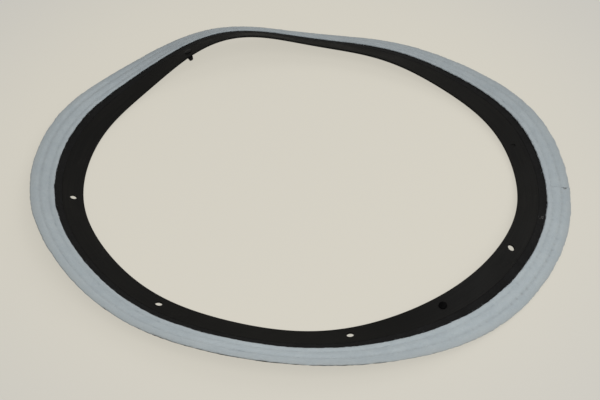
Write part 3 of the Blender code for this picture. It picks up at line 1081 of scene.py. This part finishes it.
def pale_fibres(material):
    """Fibres standing out of the facing's two edges and lying over its face."""
    rng = np.random.default_rng(FIBRE_SEED)
    count = PALE_FIBRES
    bearing = rng.uniform(0.0, math.tau, count)
    zone = rng.choice(3, count, p=PALE_SHARES)
    inner, outer, face = (zone == number for number in range(3))
    across = rng.uniform(FACING.inner, FACING.outer, count)
    across = np.where(inner, FACING.inner + rng.uniform(0.0, PALE_EDGE, count), across)
    across = np.where(outer, FACING.outer - rng.uniform(0.0, PALE_EDGE, count), across)
    up = np.where(face, felt_top(bearing, across), rng.uniform(FACING.low, FACING.high, count))
    up = up - np.where(face, FIBRE_ROOT, 0.0)
    outward = np.where(inner, -1.0, np.where(outer, 1.0, rng.choice([-1.0, 1.0], count)))
    around = rng.normal(0.0, PALE_AROUND, count) / LIE.radius
    lean = outward * rng.uniform(*PALE_LEAN, count)
    slants = np.stack([around, lean, rng.uniform(*PALE_RISE, count)], 1)
    slants[:, 2] = np.where(face, rng.uniform(*PALE_FACE_RISE, count), slants[:, 2])
    curls = fibre_curls(rng, count, *PALE_CURL)
    lengths = rng.gamma(LENGTH_SHAPE, PALE_LENGTH, count)
    roots = np.stack([bearing, across, up], 1)
    return fibre_tuft("pale_fibres", roots, slants, lengths, curls, material)


def dark_fibres(material):
    """Fibres on the bare band of the backing, with more of them along its inner edge."""
    rng = np.random.default_rng(FIBRE_SEED + 1)
    count = DARK_FIBRES
    bearing = rng.uniform(0.0, math.tau, count)
    across = rng.uniform(BACKING.inner, FACING.inner, count)
    edge = rng.random(count) < DARK_EDGE_SHARE
    across = np.where(edge, BACKING.inner + rng.uniform(0.0, DARK_EDGE, count), across)
    up = np.full(count, BACKING.high - FIBRE_ROOT)
    around = rng.normal(0.0, DARK_AROUND, count) / LIE.radius
    slants = np.stack([around, rng.normal(0.0, DARK_LEAN, count), rng.uniform(*DARK_RISE, count)], 1)
    slants[:, 1] = np.where(edge, -np.abs(slants[:, 1]), slants[:, 1])
    curls = fibre_curls(rng, count, *DARK_CURL)
    lengths = rng.gamma(LENGTH_SHAPE, DARK_LENGTH, count)
    roots = np.stack([bearing, across, up], 1)
    return fibre_tuft("dark_fibres", roots, slants, lengths, curls, material)


def lint_tuft(material):
    """A small tuft of lint caught on the bare band of the backing, at the right."""
    rng = np.random.default_rng(FIBRE_SEED + 2)
    count = LINT_FIBRES
    place = rng.normal(0.0, LINT_SIZE, (count, 2))
    bearing = LINT_BEARING + place[:, 0] / LIE.radius
    across = FACING.inner + LINT_PLACE + place[:, 1]
    roots = np.stack([bearing, across, np.full(count, BACKING.high)], 1)
    around = rng.normal(0.0, LINT_AROUND, count) / LIE.radius
    slants = np.stack([around, rng.normal(*LINT_LEAN, count), rng.uniform(*LINT_RISE, count)], 1)
    curls = fibre_curls(rng, count, *LINT_CURL)
    lengths = rng.gamma(LENGTH_SHAPE, LINT_LENGTH, count)
    return fibre_tuft("lint_tuft", roots, slants, lengths, curls, material)


def floor_fade(nodes, near, far, low=0.0, high=1.0):
    """A value that changes from low to high with the distance from the floor's palest place."""
    place = nodes.add("ShaderNodeNewGeometry").outputs["Position"]
    distance = nodes.vectors("DISTANCE", place, FLOOR_MIDDLE)["Value"]
    return nodes.spread(distance, near, far, low, high, curve="SMOOTHSTEP")


def floor_color(nodes):
    """The floor's colour: pale in the middle, then a little greyer as a painted fall-off of light, and
    the backdrop's far out.
    """
    near = nodes.mix(floor_fade(nodes, FLOOR_NEAR, FLOOR_FAR), FLOOR_COLOR, FLOOR_DIMMED_COLOR)
    return nodes.mix(floor_fade(nodes, FLOOR_BLEND_NEAR, FLOOR_BLEND_FAR), near, BACKDROP_COLOR)


def floor_material():
    """Pale floor that shows part of its own colour to the camera, so that shadows on it are faint."""
    nodes = Surface("pale_floor", FLOOR_COLOR, FLOOR_ROUGHNESS)
    color = floor_color(nodes)
    nodes.feed(nodes.shader, "Base Color", color)
    nodes.feed(nodes.shader, "Specular IOR Level", 0.0)
    lit = nodes.shader.outputs["BSDF"]
    plain = nodes.add("ShaderNodeEmission", Color=color, Strength=1.0).outputs["Emission"]
    share = floor_fade(nodes, FLOOR_BLEND_NEAR, FLOOR_BLEND_FAR, FLOOR_PLAIN_SHARE, 1.0)
    mix_by_eye(nodes, share, lit, plain, "Material Output")
    return nodes.material


def seen_by_eye(nodes, share):
    """A share for rays from the camera, or by way of a mirror or glass, and 0 for the rest."""
    path = nodes.add("ShaderNodeLightPath").outputs
    seen = nodes.maths("MAXIMUM", path["Is Camera Ray"], path["Is Glossy Ray"])
    seen = nodes.maths("MAXIMUM", seen, path["Is Transmission Ray"])
    return nodes.maths("MULTIPLY", seen, share)


def mix_by_eye(nodes, share, lit, plain, output):
    """Mix a lit shader with a plain one that the eye sees, and link the mix to the tree's output."""
    mix = nodes.add("ShaderNodeMixShader", Fac=seen_by_eye(nodes, share))
    nodes.join(mix.inputs[1], lit)
    nodes.join(mix.inputs[2], plain)
    nodes.feed(nodes.tree.nodes[output], "Surface", mix.outputs["Shader"])


def stage():
    """Floor, backdrop and lights."""
    half = FLOOR_SIZE / 2
    square = [(-half, -half, 0.0), (half, -half, 0.0), (half, half, 0.0), (-half, half, 0.0)]
    mesh = bpy.data.meshes.new("floor")
    mesh.from_pydata(square, [], [(0, 1, 2, 3)])
    mesh.materials.append(floor_material())
    new_object("floor", mesh)
    for name, place, size, power in (
        ("key", KEY_PLACE, KEY_SIZE, KEY_POWER),
        ("fill", FILL_PLACE, FILL_SIZE, FILL_POWER),
    ):
        light = bpy.data.lights.new(name, "AREA")
        light.size = size
        light.energy = power
        lamp = new_object(name, light)
        lamp.visible_camera = False
        lamp.location = place
        lamp.rotation_euler = (-Vector(place)).to_track_quat("-Z", "Y").to_euler()


def world():
    """Even light all round, and a pale backdrop for what the camera sees past the floor."""
    made = bpy.data.worlds.new("studio")
    bpy.context.scene.world = made
    nodes = Nodes(made)
    background = nodes.tree.nodes["Background"]
    nodes.feed(background, "Color", (1.0, 1.0, 1.0, 1.0))
    nodes.feed(background, "Strength", WORLD_STRENGTH)
    seen = nodes.add("ShaderNodeBackground", Color=(*BACKDROP_COLOR, 1.0), Strength=1.0)
    lit, plain = background.outputs["Background"], seen.outputs["Background"]
    mix_by_eye(nodes, 1.0, lit, plain, "World Output")


def camera():
    """Camera at the photograph's angle."""
    data = bpy.data.cameras.new("camera")
    data.lens = CAMERA_LENS
    data.sensor_width = SENSOR_WIDTH
    eye = new_object("camera", data)
    elevation, azimuth = math.radians(CAMERA_ELEVATION), math.radians(CAMERA_AZIMUTH)
    back = Vector((0.0, -math.cos(elevation), math.sin(elevation)))
    turn = Matrix.Rotation(azimuth, 3, "Z")
    eye.location = turn @ (Vector(CAMERA_TARGET) + CAMERA_DISTANCE * back)
    aim = (turn @ -back).to_track_quat("-Z", "Y").to_matrix()
    roll = Matrix.Rotation(math.radians(CAMERA_ROLL), 3, "Z")
    eye.rotation_euler = (aim @ roll).to_euler()
    bpy.context.scene.camera = eye


def build():
    """Make everything."""
    camera()
    stage()
    world()
    bpy.context.scene.view_settings.view_transform = "Standard"
    rubber_ring(rubber_material())
    # Darker copy as painted shade for the front pin, lighter copy as painted light for the rear pin
    shaded_plastic = plastic_material("black_plastic", *PAINTED_SHADE_PLASTIC)
    dust_and_painted_light = plastic_material("plastic_painted_light", *PAINTED_LIGHT_PLASTIC)
    for (node, hole), plastic in zip(pin_holes(), (shaded_plastic, dust_and_painted_light)):
        push_pin(node, hole, plastic)
    blue = felt_material("blue_grey_felt", BLUE_DARK, BLUE_LIGHT, BLUE_FLECK, BLUE_SHEEN, BLUE_SHADE_AND_EDGE_DARK)
    black = felt_material("black_felt", BLACK_DARK, BLACK_LIGHT, BLACK_FLECK, 0.0)
    facing, backing = facing_strip(blue), backing_strip(black)
    thread = thread_material()
    for side, (row, phase) in zip(("inner", "outer"), ROWS):
        stitch_row(f"{side}_stitches", row, phase, thread, f"{side}_stitching")
    pale = pale_fibres(fibre_material("pale_fibre", PALE_FIBRE_COLOR))
    lint = lint_tuft(fibre_material("lint", LINT_COLOR))
    dark = dark_fibres(fibre_material("dark_fibre", DARK_FIBRE_COLOR))


build()
